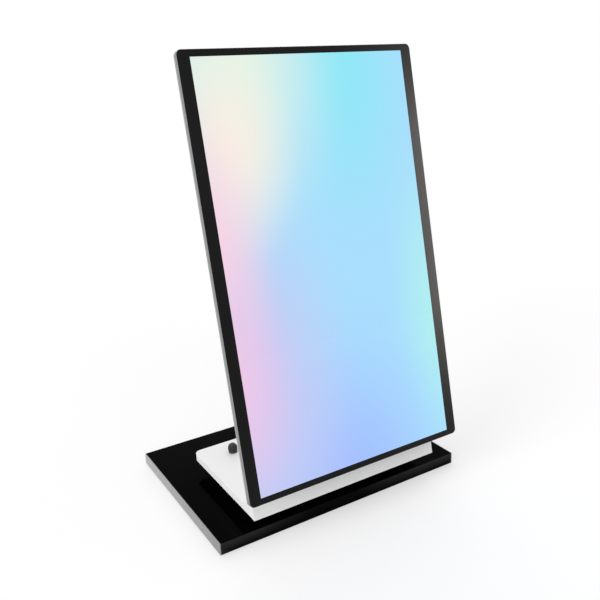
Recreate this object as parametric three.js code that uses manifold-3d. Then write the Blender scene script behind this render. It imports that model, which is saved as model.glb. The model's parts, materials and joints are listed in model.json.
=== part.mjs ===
// Countertop mirror on a swivelling stand.
// Millimetres. +X right, +Y away from the viewer, +Z up.
// Origin: centre of the base slab's footprint, on the surface that it stands on.
import * as THREE from 'three';
import { mergeVertices } from 'three/addons/utils/BufferGeometryUtils.js';
import Module from 'manifold-3d';

const wasm = await Module();
wasm.setup();

// ---- Clearances -------------------------------------------------------------
const RUN = 0.1;          // between pieces that turn against each other
const HOLE = 0.15;        // radial room for a screw in its hole
const SEAT = 0.3;         // between pieces that rest together in the leaning panel
const END_ROOM = 0.35;    // past a screw's tip in its hole
const PAST = 1;           // how far a cut reaches beyond the face that it opens

// ---- Sides of a round piece -------------------------------------------------
const LARGE = 36;
const MEDIUM = 24;
const SMALL = 14;

// ---- Base slab --------------------------------------------------------------
const SLAB_W = 300;
const SLAB_D = 214;
const SLAB_T = 13;
const BAND_T = 1;         // grey band on each end of the slab
const PAD_T = 1;
const PAD_INSET = 8;
const PAD_CORNER = 6;
const SLAB_TOP = PAD_T + SLAB_T;

// ---- Turntable --------------------------------------------------------------
const SWIVEL_Y = -39;     // swivel axis, in front of the slab's centre
const SWIVEL_RANGE = 45;  // degrees each way
const TABLE_H = 15.5;     // from the slab to the stand's foot
const DISC_R = 52;
const DISC_T = 4;
const FRICTION_T = 1.5;
const FRICTION_IN = 20;
const FRICTION_ROOM = 4;  // between the friction ring and the stop pin
const HUB_ROOM = 8;       // between the upper disc's hub and the stop pin
const PIVOT_R = 5;
const PIVOT_HEAD_R = 8;
const PIVOT_HEAD_T = 2.4;
const PIVOT_WASHER_R = 11;
const PIVOT_WASHER_T = 1;
const PIVOT_SPRING_T = 0.8;
const PIVOT_SPRING_PLATE = 0.5;
const PIVOT_NUT_R = 9.8;
const PIVOT_NUT_T = 2.4;
const POCKET_ROOM = 2;        // round the washer in its pocket
const POCKET_HEADROOM = 0.4;  // above the nut, under the stand
const STOP_INSET = 8;         // from the discs' edge
const STOP_PIN_R = 2;
const STOP_PIN_SUNK = 1;      // below the top of the upper disc's flange
const STOP_SPARE = 1;         // degrees that the stop slot reaches past the range
const BASE_SCREW_INSET = 6;   // from the discs' edge
const BASE_SCREW_L = 11;
const STAND_SCREW_INSET = 9;  // from the hub's edge
const STAND_SCREW_L = 12.5;
const DISC_SCREWS = 4;
const DISC_SCREW_START = Math.PI / 4;

const DISC_TOP = SLAB_TOP + DISC_T;
const FRICTION_TOP = DISC_TOP + FRICTION_T;
const TOP_DISC_Z = FRICTION_TOP + RUN;
const FOOT_Z = SLAB_TOP + TABLE_H;
const POCKET_R = PIVOT_WASHER_R + POCKET_ROOM;
const POCKET_Z = FOOT_Z - POCKET_HEADROOM - PIVOT_WASHER_T - PIVOT_SPRING_T - PIVOT_NUT_T - 3 * RUN;
const STOP_RADIUS = DISC_R - STOP_INSET;
const FRICTION_OUT = STOP_RADIUS - STOP_PIN_R - FRICTION_ROOM;
const HUB_R = STOP_RADIUS - STOP_PIN_R - HUB_ROOM;
const BASE_SCREW_RADIUS = DISC_R - BASE_SCREW_INSET;
const STAND_SCREW_RADIUS = HUB_R - STAND_SCREW_INSET;

// ---- Stand ------------------------------------------------------------------
const LEAN = THREE.MathUtils.degToRad(11.1);
const STAND_W = 227.8;
const STAND_T = 8;
const FOOT_FRONT = -114;
const FOOT_BACK = 35.3;
const FOOT_CORNER = 8;    // rounding of the foot's rear corners
const FOOT_TOP = FOOT_Z + STAND_T;
const BEND_R = 14;        // inside of the bend between foot and upright
const BEND_OUT_R = 1.5;
const UPRIGHT_STRAIGHT = 45;  // height over which the upright keeps its full width
const UPRIGHT_TOP_W = 150;
const UPRIGHT_CORNER = 18;
const UPRIGHT_CORNER_PULL = 2;  // how far the corner's curve stays off its square corner

// ---- Lock knob --------------------------------------------------------------
const KNOB_X = -76.8;
const KNOB_Y = 9;
const KNOB_R = 5.4;
const KNOB_COLLAR_R = 5.1;
const KNOB_COLLAR_H = 2.6;
const KNOB_GROOVE_R = 4.7;
const KNOB_GROOVE_H = 0.8;
const KNOB_GRIP_H = 2.2;  // straight part between the groove and the dome
const KNOB_BORE = 5.5;
const KNOB_DOME_STEPS = 6;
const STUD_R = 2.5;
const TIP_R = 3.2;
const TIP_T = 2;
const INSERT_R = 4.5;
const INSERT_SUNK = 0.2;

// ---- Mirror panel, in its own leaning frame -----------------------------------
// Local x runs along the panel's bottom edge, y from its front to its back, z up along it.
const PANEL_Y = -136.3;   // panel's front bottom edge
const PANEL_Z = 60.7;
const PANEL_W = 255.4;
const PANEL_H = 417.5;
const PANEL_CORNER = 5;
const GLASS_T = 3;
const RIM_T = 3.2;
const RIM_W = 9;
const COVER_T = 1.2;
const COVER_INSET = 3;
const COVER_CORNER = 4;
const COVER_SCREW_INSET = 6.5;     // from the panel's side edge
const COVER_SCREW_END = 13;        // from the panel's top and bottom edges

const RIM_Y = GLASS_T + SEAT;
const RIM_BACK = RIM_Y + RIM_T;
const COVER_Y = RIM_BACK + SEAT;
const COVER_BACK = COVER_Y + COVER_T;
const PANEL_SCREW_TIP = RIM_Y + 2 * END_ROOM;  // every screw that goes into the panel ends here

// ---- Tilt hinges --------------------------------------------------------------
const HINGE_H = 150;      // hinge axis above the panel's bottom edge
const HINGE_X = 45;       // from the centre to the friction face of each hinge
const HINGE_SET_BACK = 1.4;   // of the axis, behind the middle of the gap between cover and upright
const BRACKET_T = 2.5;
const BRACKET_H = 36;
const BRACKET_W = 19;
const EAR_T = 3;
const EAR_R = 6.5;
const HINGE_BOLT_R = 3;
const HINGE_HEAD_R = 5;
const HINGE_HEAD_T = 3.2;
const HINGE_WASHER_R = 6;
const HINGE_WASHER_T = 1;
const HINGE_SPRING_T = 1;
const HINGE_SPRING_PLATE = 0.6;
const HINGE_NUT_R = 5.6;
const HINGE_NUT_T = 4;
const HINGE_BOLT_END = 1;     // past the nut
const HINGE_SOCKET = 2;
const BRACKET_SCREW_Z = 12;   // above and below the hinge axis
const BRACKET_SCREW_IN = 6;   // from the bracket's free edge
const UPRIGHT_ABOVE_HINGE = 28;
const BLIND_WALL = 2;         // left in front of the screws that end inside the upright
const EAR_GAP = HINGE_WASHER_T + 2 * RUN;

// ---- Small screws ---------------------------------------------------------------
const SCREW_R = 2;
const SCREW_HEAD_R = 4;
const SCREW_HEAD_T = 2.2;
const SMALL_SCREW_R = 1.25;
const SMALL_HEAD_R = 2.3;
const SMALL_HEAD_T = 1.1;
const SOCKET_DEPTH = 1.4;
const SMALL_SOCKET_DEPTH = 0.7;
const SOCKET_SHARE = 0.9;     // of the shank's radius
const HEAD_FLAT = 0.8;        // of the head's radius
const HEAD_RISE = 0.4;        // of the head's height

// ---- Materials ------------------------------------------------------------------
function finish(color, roughness, metalness) {
  return new THREE.MeshStandardMaterial({ color, roughness, metalness });
}
const BLACK_GLOSS = finish(0x0c0c0e, 0.08, 0);
const BAND_GREY = finish(0xaaaaaa, 0.45, 0.2);
const RUBBER = finish(0x161616, 0.9, 0);
const ZINC = finish(0xb4b6b8, 0.35, 1);
const NYLON = finish(0xe6e2d6, 0.5, 0);
const BRASS = finish(0xb8964a, 0.35, 1);
const WHITE = finish(0xe8e8e8, 0.3, 0);
const KNOB_GREY = finish(0x4a4a4c, 0.5, 0);
const MIRROR = finish(0xbfe0f0, 0.03, 1);
const RIM_SILVER = finish(0xa4a6a8, 0.4, 0.8);
const BOARD_BLACK = finish(0x1a1a1a, 0.7, 0);
const COVER_BLACK = finish(0x202022, 0.55, 0);

// ---- Solids -----------------------------------------------------------------------
function solid(geometry) {
  const bare = geometry.index ? geometry.toNonIndexed() : geometry.clone();
  bare.deleteAttribute('normal');
  bare.deleteAttribute('uv');
  const merged = mergeVertices(bare, 1e-4);
  const position = merged.attributes.position;
  const index = merged.index.array;
  const faces = [];
  let volume = 0;
  const a = new THREE.Vector3();
  const b = new THREE.Vector3();
  const c = new THREE.Vector3();
  for (let i = 0; i < index.length; i += 3) {
    const [p, q, r] = [index[i], index[i + 1], index[i + 2]];
    if (p === q || q === r || r === p) continue;
    faces.push([p, q, r]);
    a.fromBufferAttribute(position, p);
    b.fromBufferAttribute(position, q);
    c.fromBufferAttribute(position, r);
    volume += a.dot(b.cross(c));
  }
  const triVerts = new Uint32Array(faces.flatMap(([p, q, r]) => (volume < 0 ? [p, r, q] : [p, q, r])));
  const vertProperties = new Float32Array(position.array);
  return new wasm.Manifold(new wasm.Mesh({ numProp: 3, vertProperties, triVerts }));
}

function piece(name, body, material) {
  const mesh = body.getMesh();
  const geometry = new THREE.BufferGeometry();
  geometry.setAttribute('position', new THREE.BufferAttribute(new Float32Array(mesh.vertProperties), 3));
  geometry.setIndex(new THREE.BufferAttribute(new Uint32Array(mesh.triVerts), 1));
  geometry.computeVertexNormals();
  const result = new THREE.Mesh(geometry, material);
  result.name = name;
  return result;
}

function box(x0, x1, y0, y1, z0, z1) {
  const geometry = new THREE.BoxGeometry(x1 - x0, y1 - y0, z1 - z0);
  geometry.translate((x0 + x1) / 2, (y0 + y1) / 2, (z0 + z1) / 2);
  return solid(geometry);
}

// A turned piece. The profile is a list of [radius, distance along the axis] that starts and
// ends on the axis, or closes on itself when it has a bore.
function turned(profile, axis = 'z', segments = MEDIUM) {
  const geometry = new THREE.LatheGeometry(profile.map(([r, t]) => new THREE.Vector2(r, t)), segments);
  if (axis === 'z') geometry.rotateX(Math.PI / 2);
  if (axis === 'x') geometry.rotateZ(-Math.PI / 2);
  return geometry;
}

function rod(radius, t0, t1, axis = 'z', segments = MEDIUM) {
  return turned([[0, t0], [radius, t0], [radius, t1], [0, t1]], axis, segments);
}

function tube(inner, outer, t0, t1, axis = 'z', segments = MEDIUM) {
  return turned([[inner, t0], [outer, t0], [outer, t1], [inner, t1], [inner, t0]], axis, segments);
}

function placed(geometry, x, y, z) {
  return solid(geometry.translate(x, y, z));
}

function roundedShape(x0, x1, y0, y1, r) {
  const shape = new THREE.Shape();
  shape.moveTo(x0 + r, y0);
  shape.lineTo(x1 - r, y0);
  shape.absarc(x1 - r, y0 + r, r, -Math.PI / 2, 0, false);
  shape.lineTo(x1, y1 - r);
  shape.absarc(x1 - r, y1 - r, r, 0, Math.PI / 2, false);
  shape.lineTo(x0 + r, y1);
  shape.absarc(x0 + r, y1 - r, r, Math.PI / 2, Math.PI, false);
  shape.lineTo(x0, y0 + r);
  shape.absarc(x0 + r, y0 + r, r, Math.PI, Math.PI * 1.5, false);
  return shape;
}

// Extrudes an outline drawn in X and Y upwards from z0 to z1.
function flatPlate(shape, z0, z1, curveSegments = 8) {
  const geometry = new THREE.ExtrudeGeometry(shape, { depth: z1 - z0, bevelEnabled: false, curveSegments });
  geometry.translate(0, 0, z0);
  return geometry;
}

// Extrudes an outline drawn in X and Z from y0 back to y1.
function wallPlate(shape, y0, y1, curveSegments = 8) {
  const geometry = flatPlate(shape, -y1, -y0, curveSegments);
  geometry.rotateX(Math.PI / 2);
  return geometry;
}

function around(count, radius, start, make) {
  const items = [];
  for (let i = 0; i < count; i += 1) {
    const angle = start + (i * 2 * Math.PI) / count;
    items.push(make(radius * Math.cos(angle), radius * Math.sin(angle), i + 1));
  }
  return items;
}

// Screw along the axis, head end at t = 0 and the head's underside at t = headT.
function screwProfile(radius, headR, headT, length) {
  return [[0, 0], [headR * HEAD_FLAT, 0], [headR, headT * HEAD_RISE], [headR, headT], [radius, headT],
    [radius, headT + length], [0, headT + length]];
}

// Disc spring: a shallow cone of the given plate thickness, lying from t to t + height.
function springProfile(bore, radius, t, height, plate) {
  return [[bore, t + height - plate], [radius, t], [radius, t + plate], [bore, t + height],
    [bore, t + height - plate]];
}

function hexagon(radius, t0, t1, axis) {
  return rod(radius, t0, t1, axis, 6);
}

// Driver socket in a screw head, cut from t0 to t1.
function socket(radius, t0, t1, axis) {
  return hexagon(radius * SOCKET_SHARE, t0, t1, axis);
}

// ---- Base -------------------------------------------------------------------------
function basePieces() {
  const pad = flatPlate(
    roundedShape(PAD_INSET - SLAB_W / 2, SLAB_W / 2 - PAD_INSET,
      PAD_INSET - SLAB_D / 2, SLAB_D / 2 - PAD_INSET, PAD_CORNER), 0, PAD_T);
  const coreX = SLAB_W / 2 - BAND_T;
  let slab = box(-coreX, coreX, -SLAB_D / 2, SLAB_D / 2, PAD_T, SLAB_TOP);
  discScrews(BASE_SCREW_RADIUS, (x, y) => {
    const hole = rod(SCREW_R + HOLE, DISC_TOP - HOLE - BASE_SCREW_L - END_ROOM, SLAB_TOP + PAST, 'z', SMALL);
    slab = slab.subtract(placed(hole, x, y, 0));
  });
  const band = (x0) => box(x0, x0 + BAND_T, -SLAB_D / 2, SLAB_D / 2, PAD_T, SLAB_TOP);
  return [
    piece('antislip_pad', solid(pad), RUBBER),
    piece('base_slab', slab, BLACK_GLOSS),
    piece('edge_band_left', band(-SLAB_W / 2), BAND_GREY),
    piece('edge_band_right', band(coreX), BAND_GREY),
  ];
}

// Calls make(x, y, number) at each screw on a circle about the swivel axis.
function discScrews(radius, make) {
  return around(DISC_SCREWS, radius, DISC_SCREW_START, (x, y, i) => make(x, y + SWIVEL_Y, i));
}

// Countersunk screw standing head up, its head flush with z = top.
function countersunk(x, y, top, length) {
  const profile = [[0, top - length], [SCREW_R, top - length], [SCREW_R, top - SCREW_HEAD_T],
    [SCREW_HEAD_R, top], [0, top]];
  const body = placed(turned(profile, 'z', SMALL), x, y, 0);
  return body.subtract(placed(socket(SCREW_R, top - SOCKET_DEPTH, top + PAST, 'z'), x, y, 0));
}

function countersink(x, y, top, through) {
  const r = SCREW_R + HOLE;
  const headR = SCREW_HEAD_R + HOLE;
  const profile = [[0, through - PAST], [r, through - PAST], [r, top - SCREW_HEAD_T - HOLE],
    [headR, top - HOLE], [headR, top + PAST], [0, top + PAST]];
  return placed(turned(profile, 'z', SMALL), x, y, 0);
}

function turntablePieces() {
  const headRecess = rod(PIVOT_HEAD_R + HOLE, SLAB_TOP - PAST, SLAB_TOP + PIVOT_HEAD_T + RUN, 'z', LARGE);
  const pinHole = rod(STOP_PIN_R + HOLE, SLAB_TOP - PAST, DISC_TOP + PAST, 'z', SMALL);
  let lower = placed(tube(PIVOT_R + RUN / 2, DISC_R, SLAB_TOP, DISC_TOP, 'z', LARGE), 0, SWIVEL_Y, 0)
    .subtract(placed(headRecess, 0, SWIVEL_Y, 0))
    .subtract(placed(pinHole, 0, SWIVEL_Y + STOP_RADIUS, 0));
  const screws = discScrews(BASE_SCREW_RADIUS, (x, y, i) => {
    lower = lower.subtract(countersink(x, y, DISC_TOP, SLAB_TOP));
    return piece(`base_screw_${i}`, countersunk(x, y, DISC_TOP - HOLE, BASE_SCREW_L), ZINC);
  });
  const friction = tube(FRICTION_IN, FRICTION_OUT, DISC_TOP, FRICTION_TOP, 'z', LARGE);
  const pin = rod(STOP_PIN_R, SLAB_TOP + END_ROOM, TOP_DISC_Z + DISC_T - STOP_PIN_SUNK, 'z', SMALL);
  return [
    piece('turntable_base', lower, ZINC),
    ...screws,
    piece('friction_ring', placed(friction, 0, SWIVEL_Y, 0), NYLON),
    piece('swivel_stop_pin', placed(pin, 0, SWIVEL_Y + STOP_RADIUS, 0), ZINC),
    ...pivotPieces(),
    piece('turntable_top', topDisc(), ZINC),
  ];
}

function pivotPieces() {
  const headZ = SLAB_TOP + RUN;
  const washerZ = POCKET_Z + RUN;
  const springZ = washerZ + PIVOT_WASHER_T + RUN;
  const nutZ = springZ + PIVOT_SPRING_T + RUN;
  const boltTop = nutZ + PIVOT_NUT_T;
  const bolt = turned([[0, headZ], [PIVOT_HEAD_R, headZ], [PIVOT_HEAD_R, headZ + PIVOT_HEAD_T - RUN],
    [PIVOT_R, headZ + PIVOT_HEAD_T - RUN], [PIVOT_R, boltTop], [0, boltTop]], 'z', LARGE);
  const bore = PIVOT_R + RUN;
  const washer = tube(bore, PIVOT_WASHER_R, washerZ, washerZ + PIVOT_WASHER_T, 'z', LARGE);
  const cone = springProfile(bore, PIVOT_WASHER_R, springZ, PIVOT_SPRING_T, PIVOT_SPRING_PLATE);
  const nut = placed(hexagon(PIVOT_NUT_R, nutZ, boltTop, 'z'), 0, SWIVEL_Y, 0)
    .subtract(placed(rod(bore, nutZ - PAST, boltTop + PAST, 'z', LARGE), 0, SWIVEL_Y, 0));
  return [
    piece('pivot_bolt', placed(bolt, 0, SWIVEL_Y, 0), ZINC),
    piece('pivot_washer', placed(washer, 0, SWIVEL_Y, 0), NYLON),
    piece('pivot_disc_spring', placed(turned(cone, 'z', LARGE), 0, SWIVEL_Y, 0), ZINC),
    piece('pivot_nut', nut, ZINC),
  ];
}

function topDisc() {
  const flangeTop = TOP_DISC_Z + DISC_T;
  const profile = [[PIVOT_R + RUN, TOP_DISC_Z], [DISC_R, TOP_DISC_Z], [DISC_R, flangeTop], [HUB_R, flangeTop],
    [HUB_R, FOOT_Z], [POCKET_R, FOOT_Z], [POCKET_R, POCKET_Z], [PIVOT_R + RUN, POCKET_Z],
    [PIVOT_R + RUN, TOP_DISC_Z]];
  let disc = placed(turned(profile, 'z', LARGE), 0, SWIVEL_Y, 0);
  const halfWidth = STOP_PIN_R + HOLE;
  const swing = THREE.MathUtils.degToRad(SWIVEL_RANGE + STOP_SPARE) + halfWidth / STOP_RADIUS;
  const slot = new THREE.Shape();
  slot.absarc(0, 0, STOP_RADIUS + halfWidth, Math.PI / 2 - swing, Math.PI / 2 + swing, false);
  slot.absarc(0, 0, STOP_RADIUS - halfWidth, Math.PI / 2 + swing, Math.PI / 2 - swing, true);
  slot.closePath();
  disc = disc.subtract(placed(flatPlate(slot, TOP_DISC_Z - PAST, flangeTop + PAST, MEDIUM), 0, SWIVEL_Y, 0));
  discScrews(STAND_SCREW_RADIUS, (x, y) => {
    const hole = rod(SCREW_R + HOLE, FOOT_TOP - HOLE - STAND_SCREW_L - END_ROOM, FOOT_Z + PAST, 'z', SMALL);
    disc = disc.subtract(placed(hole, x, y, 0));
  });
  return disc;
}

// ---- Stand ------------------------------------------------------------------------
// Leaning frame shared by the panel, the hinges and the upright's screw holes.
const leanFrame = new THREE.Group();
leanFrame.position.set(0, PANEL_Y, PANEL_Z);
leanFrame.rotation.x = -LEAN;
leanFrame.updateMatrix();

// Front face of the upright, in the leaning frame's y, and the lowest point of that face in its z.
const frontCorner = new THREE.Vector3(0, FOOT_FRONT, FOOT_Z).applyMatrix4(leanFrame.matrix.clone().invert());
const UPRIGHT_Y = frontCorner.y;
const UPRIGHT_LENGTH = HINGE_H + UPRIGHT_ABOVE_HINGE - frontCorner.z;
const HINGE_Y = (COVER_BACK + UPRIGHT_Y) / 2 + HINGE_SET_BACK;

function sideProfile() {
  const along = new THREE.Vector2(Math.sin(LEAN), Math.cos(LEAN));
  const back = new THREE.Vector2(Math.cos(LEAN), -Math.sin(LEAN));
  const corner = new THREE.Vector2(FOOT_FRONT, FOOT_Z);
  const at = (up, depth) => corner.clone().addScaledVector(along, up).addScaledVector(back, depth);
  const bendZ = FOOT_TOP + BEND_R;
  const bendY = FOOT_FRONT + (STAND_T + BEND_R + (bendZ - FOOT_Z) * Math.sin(LEAN)) / Math.cos(LEAN);
  const shape = new THREE.Shape();
  const frontTop = at(UPRIGHT_LENGTH, 0);
  const backTop = at(UPRIGHT_LENGTH, STAND_T);
  const frontLow = at(BEND_OUT_R, 0);
  shape.moveTo(FOOT_FRONT + BEND_OUT_R, FOOT_Z);
  shape.lineTo(FOOT_BACK, FOOT_Z);
  shape.lineTo(FOOT_BACK, FOOT_TOP);
  shape.lineTo(bendY, FOOT_TOP);
  shape.absarc(bendY, bendZ, BEND_R, -Math.PI / 2, -Math.PI - LEAN, true);
  shape.lineTo(backTop.x, backTop.y);
  shape.lineTo(frontTop.x, frontTop.y);
  shape.lineTo(frontLow.x, frontLow.y);
  shape.quadraticCurveTo(FOOT_FRONT, FOOT_Z, FOOT_FRONT + BEND_OUT_R, FOOT_Z);
  return shape;
}

function footOutline() {
  const half = STAND_W / 2;
  const shape = new THREE.Shape();
  shape.moveTo(-half, FOOT_FRONT - PAST);
  shape.lineTo(half, FOOT_FRONT - PAST);
  shape.lineTo(half, FOOT_BACK - FOOT_CORNER);
  shape.absarc(half - FOOT_CORNER, FOOT_BACK - FOOT_CORNER, FOOT_CORNER, 0, Math.PI / 2, false);
  shape.lineTo(FOOT_CORNER - half, FOOT_BACK);
  shape.absarc(FOOT_CORNER - half, FOOT_BACK - FOOT_CORNER, FOOT_CORNER, Math.PI / 2, Math.PI, false);
  shape.closePath();
  return shape;
}

function frontOutline() {
  const half = STAND_W / 2 + PAST;
  const topHalf = UPRIGHT_TOP_W / 2;
  const pulled = topHalf - UPRIGHT_CORNER_PULL;
  const top = FOOT_Z + UPRIGHT_LENGTH * Math.cos(LEAN) + PAST;
  const shape = new THREE.Shape();
  shape.moveTo(-half, FOOT_Z - PAST);
  shape.lineTo(half, FOOT_Z - PAST);
  shape.lineTo(half, FOOT_Z + UPRIGHT_STRAIGHT);
  shape.lineTo(topHalf, top - UPRIGHT_CORNER);
  shape.quadraticCurveTo(pulled, top - UPRIGHT_CORNER_PULL, topHalf - UPRIGHT_CORNER, top);
  shape.lineTo(UPRIGHT_CORNER - topHalf, top);
  shape.quadraticCurveTo(-pulled, top - UPRIGHT_CORNER_PULL, -topHalf, top - UPRIGHT_CORNER);
  shape.lineTo(-half, FOOT_Z + UPRIGHT_STRAIGHT);
  shape.closePath();
  return shape;
}

function standPlate() {
  const profile = flatPlate(sideProfile(), 0, STAND_W, 12);
  profile.rotateY(Math.PI / 2);
  profile.rotateX(Math.PI / 2);
  profile.translate(-STAND_W / 2, 0, 0);
  let plate = solid(profile)
    .intersect(solid(flatPlate(footOutline(), FOOT_Z - PAST, FOOT_Z + UPRIGHT_LENGTH + PAST, 10)))
    .intersect(solid(wallPlate(frontOutline(), FOOT_FRONT - PAST, FOOT_BACK + PAST, 10)))
    .subtract(placed(rod(INSERT_R + HOLE, FOOT_Z - PAST, FOOT_TOP + PAST), KNOB_X, KNOB_Y, 0));
  discScrews(STAND_SCREW_RADIUS, (x, y) => {
    plate = plate.subtract(countersink(x, y, FOOT_TOP, FOOT_Z));
  });
  const tip = UPRIGHT_Y + STAND_T - BLIND_WALL;
  for (const [x, z] of bracketScrewSpots(-1)) {
    const hole = rod(SCREW_R + HOLE, UPRIGHT_Y - PAST, tip + END_ROOM, 'y', SMALL);
    plate = plate.subtract(solid(hole.translate(x, 0, z).applyMatrix4(leanFrame.matrix)));
  }
  return plate;
}

function standPieces() {
  const screws = discScrews(STAND_SCREW_RADIUS,
    (x, y, i) => piece(`stand_screw_${i}`, countersunk(x, y, FOOT_TOP - HOLE, STAND_SCREW_L), ZINC));
  const insert = tube(STUD_R + HOLE, INSERT_R, FOOT_Z, FOOT_TOP - INSERT_SUNK);
  return [
    piece('stand_plate', standPlate(), WHITE),
    ...screws,
    piece('thread_insert', placed(insert, KNOB_X, KNOB_Y, 0), BRASS),
  ];
}

function knobPieces() {
  const base = FOOT_TOP + RUN;
  const boreR = STUD_R + HOLE;
  const boreTop = base + KNOB_BORE;
  const collarTop = base + KNOB_COLLAR_H;
  const gripZ = collarTop + KNOB_GROOVE_H;
  const domeZ = gripZ + KNOB_GRIP_H;
  const profile = [[0, boreTop], [boreR, boreTop], [boreR, base], [KNOB_COLLAR_R, base],
    [KNOB_COLLAR_R, collarTop], [KNOB_GROOVE_R, collarTop], [KNOB_GROOVE_R, gripZ], [KNOB_R, gripZ]];
  for (let i = 0; i <= KNOB_DOME_STEPS; i += 1) {
    const angle = (i / KNOB_DOME_STEPS) * (Math.PI / 2);
    profile.push([KNOB_R * Math.cos(angle), domeZ + KNOB_R * Math.sin(angle)]);
  }
  profile[profile.length - 1][0] = 0;
  const tipZ = SLAB_TOP + RUN;
  return [
    piece('lock_knob', placed(turned(profile), KNOB_X, KNOB_Y, 0), KNOB_GREY),
    piece('lock_stud', placed(rod(STUD_R, tipZ + TIP_T + RUN, boreTop - RUN), KNOB_X, KNOB_Y, 0), ZINC),
    piece('lock_tip', placed(rod(TIP_R, tipZ, tipZ + TIP_T), KNOB_X, KNOB_Y, 0), NYLON),
  ];
}

// ---- Tilt hinges ------------------------------------------------------------------
// Screw along the leaning frame's y, its head's underside at seat and its end at tip.
function leaningScrew(size, x, z, seat, tip) {
  const facing = Math.sign(tip - seat);
  const length = Math.abs(tip - seat);
  const screw = turned(screwProfile(size.radius, size.headR, size.headT, length), 'y', SMALL);
  const driver = socket(size.radius, -PAST, size.depth, 'y');
  const start = seat - facing * size.headT;
  const set = (geometry) => placed(geometry.scale(1, facing, 1), x, start, z);
  return set(screw).subtract(set(driver));
}

// direction is -1 for the stand's brackets, which reach towards the centre, and 1 for the panel's.
function bracketScrewSpots(direction) {
  const reach = direction < 0 ? -(BRACKET_W - BRACKET_SCREW_IN) : EAR_GAP + BRACKET_W - BRACKET_SCREW_IN;
  const spots = [];
  for (const side of [-1, 1]) {
    for (const up of [-1, 1]) spots.push([side * (HINGE_X + reach), HINGE_H + up * BRACKET_SCREW_Z]);
  }
  return spots;
}

function span(side, u0, u1) {
  return side > 0 ? [u0, u1] : [-u1, -u0];
}

function crossBox(side, u0, u1, y0, y1, z0, z1) {
  const [x0, x1] = span(side, u0, u1);
  return box(x0, x1, y0, y1, z0, z1);
}

function crossTurn(side, make) {
  const geometry = make();
  if (side < 0) geometry.scale(-1, 1, 1);
  return solid(geometry.translate(0, HINGE_Y, HINGE_H));
}

function bracket(direction, side) {
  const onStand = direction < 0;
  const plateY = onStand ? UPRIGHT_Y - SEAT - BRACKET_T : COVER_BACK + SEAT;
  const earStart = onStand ? HINGE_X - EAR_T : HINGE_X + EAR_GAP;
  const plateStart = onStand ? HINGE_X - BRACKET_W : earStart;
  const plate = crossBox(side, plateStart, plateStart + BRACKET_W, plateY, plateY + BRACKET_T,
    HINGE_H - BRACKET_H / 2, HINGE_H + BRACKET_H / 2);
  const earY0 = onStand ? HINGE_Y : plateY + BRACKET_T / 2;
  const earY1 = onStand ? plateY + BRACKET_T / 2 : HINGE_Y;
  const arm = crossBox(side, earStart, earStart + EAR_T, earY0, earY1, HINGE_H - EAR_R, HINGE_H + EAR_R);
  const eye = crossTurn(side, () => rod(EAR_R, earStart, earStart + EAR_T, 'x'));
  const bore = crossTurn(side, () => rod(HINGE_BOLT_R + RUN, earStart - PAST, earStart + EAR_T + PAST, 'x'));
  let body = plate.add(arm).add(eye).subtract(bore);
  for (const [x, z] of bracketScrewSpots(direction)) {
    if (x * side < 0) continue;
    const hole = rod(SCREW_R + HOLE, plateY - PAST, plateY + BRACKET_T + PAST, 'y', SMALL);
    body = body.subtract(placed(hole, x, 0, z));
  }
  return body;
}

function hingeStack(side, label) {
  const bore = HINGE_BOLT_R + RUN;
  const ring = (u) => crossTurn(side, () => tube(bore, HINGE_WASHER_R, u, u + HINGE_WASHER_T, 'x', SMALL));
  const outerFace = HINGE_X + EAR_GAP + EAR_T + RUN;
  const springU = outerFace + HINGE_WASHER_T + RUN;
  const nutU = springU + HINGE_SPRING_T + RUN;
  const headU = HINGE_X - EAR_T - RUN - HINGE_HEAD_T;
  const end = nutU + HINGE_NUT_T + HINGE_BOLT_END;
  const boltProfile = [[0, headU], [HINGE_HEAD_R, headU], [HINGE_HEAD_R, headU + HINGE_HEAD_T],
    [HINGE_BOLT_R, headU + HINGE_HEAD_T], [HINGE_BOLT_R, end], [0, end]];
  const cone = springProfile(bore, HINGE_WASHER_R, springU, HINGE_SPRING_T, HINGE_SPRING_PLATE);
  const bolt = crossTurn(side, () => turned(boltProfile, 'x', SMALL))
    .subtract(crossTurn(side, () => socket(HINGE_BOLT_R, headU - PAST, headU + HINGE_SOCKET, 'x')));
  const nut = crossTurn(side, () => hexagon(HINGE_NUT_R, nutU, nutU + HINGE_NUT_T, 'x'))
    .subtract(crossTurn(side, () => rod(bore, nutU - PAST, nutU + HINGE_NUT_T + PAST, 'x')));
  return [
    piece(`hinge_bolt_${label}`, bolt, ZINC),
    piece(`hinge_washer_inner_${label}`, ring(HINGE_X + RUN), NYLON),
    piece(`hinge_washer_outer_${label}`, ring(outerFace), NYLON),
    piece(`hinge_disc_spring_${label}`, crossTurn(side, () => turned(cone, 'x', SMALL)), ZINC),
    piece(`hinge_nut_${label}`, nut, ZINC),
  ];
}

function bracketScrew(direction, x, z) {
  const onStand = direction < 0;
  const seat = onStand ? UPRIGHT_Y - SEAT - BRACKET_T - RUN : COVER_BACK + SEAT + BRACKET_T + RUN;
  const tip = onStand ? UPRIGHT_Y + STAND_T - BLIND_WALL : PANEL_SCREW_TIP;
  const size = { radius: SCREW_R, headR: SCREW_HEAD_R, headT: SCREW_HEAD_T, depth: SOCKET_DEPTH };
  return leaningScrew(size, x, z, seat, tip);
}

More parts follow.
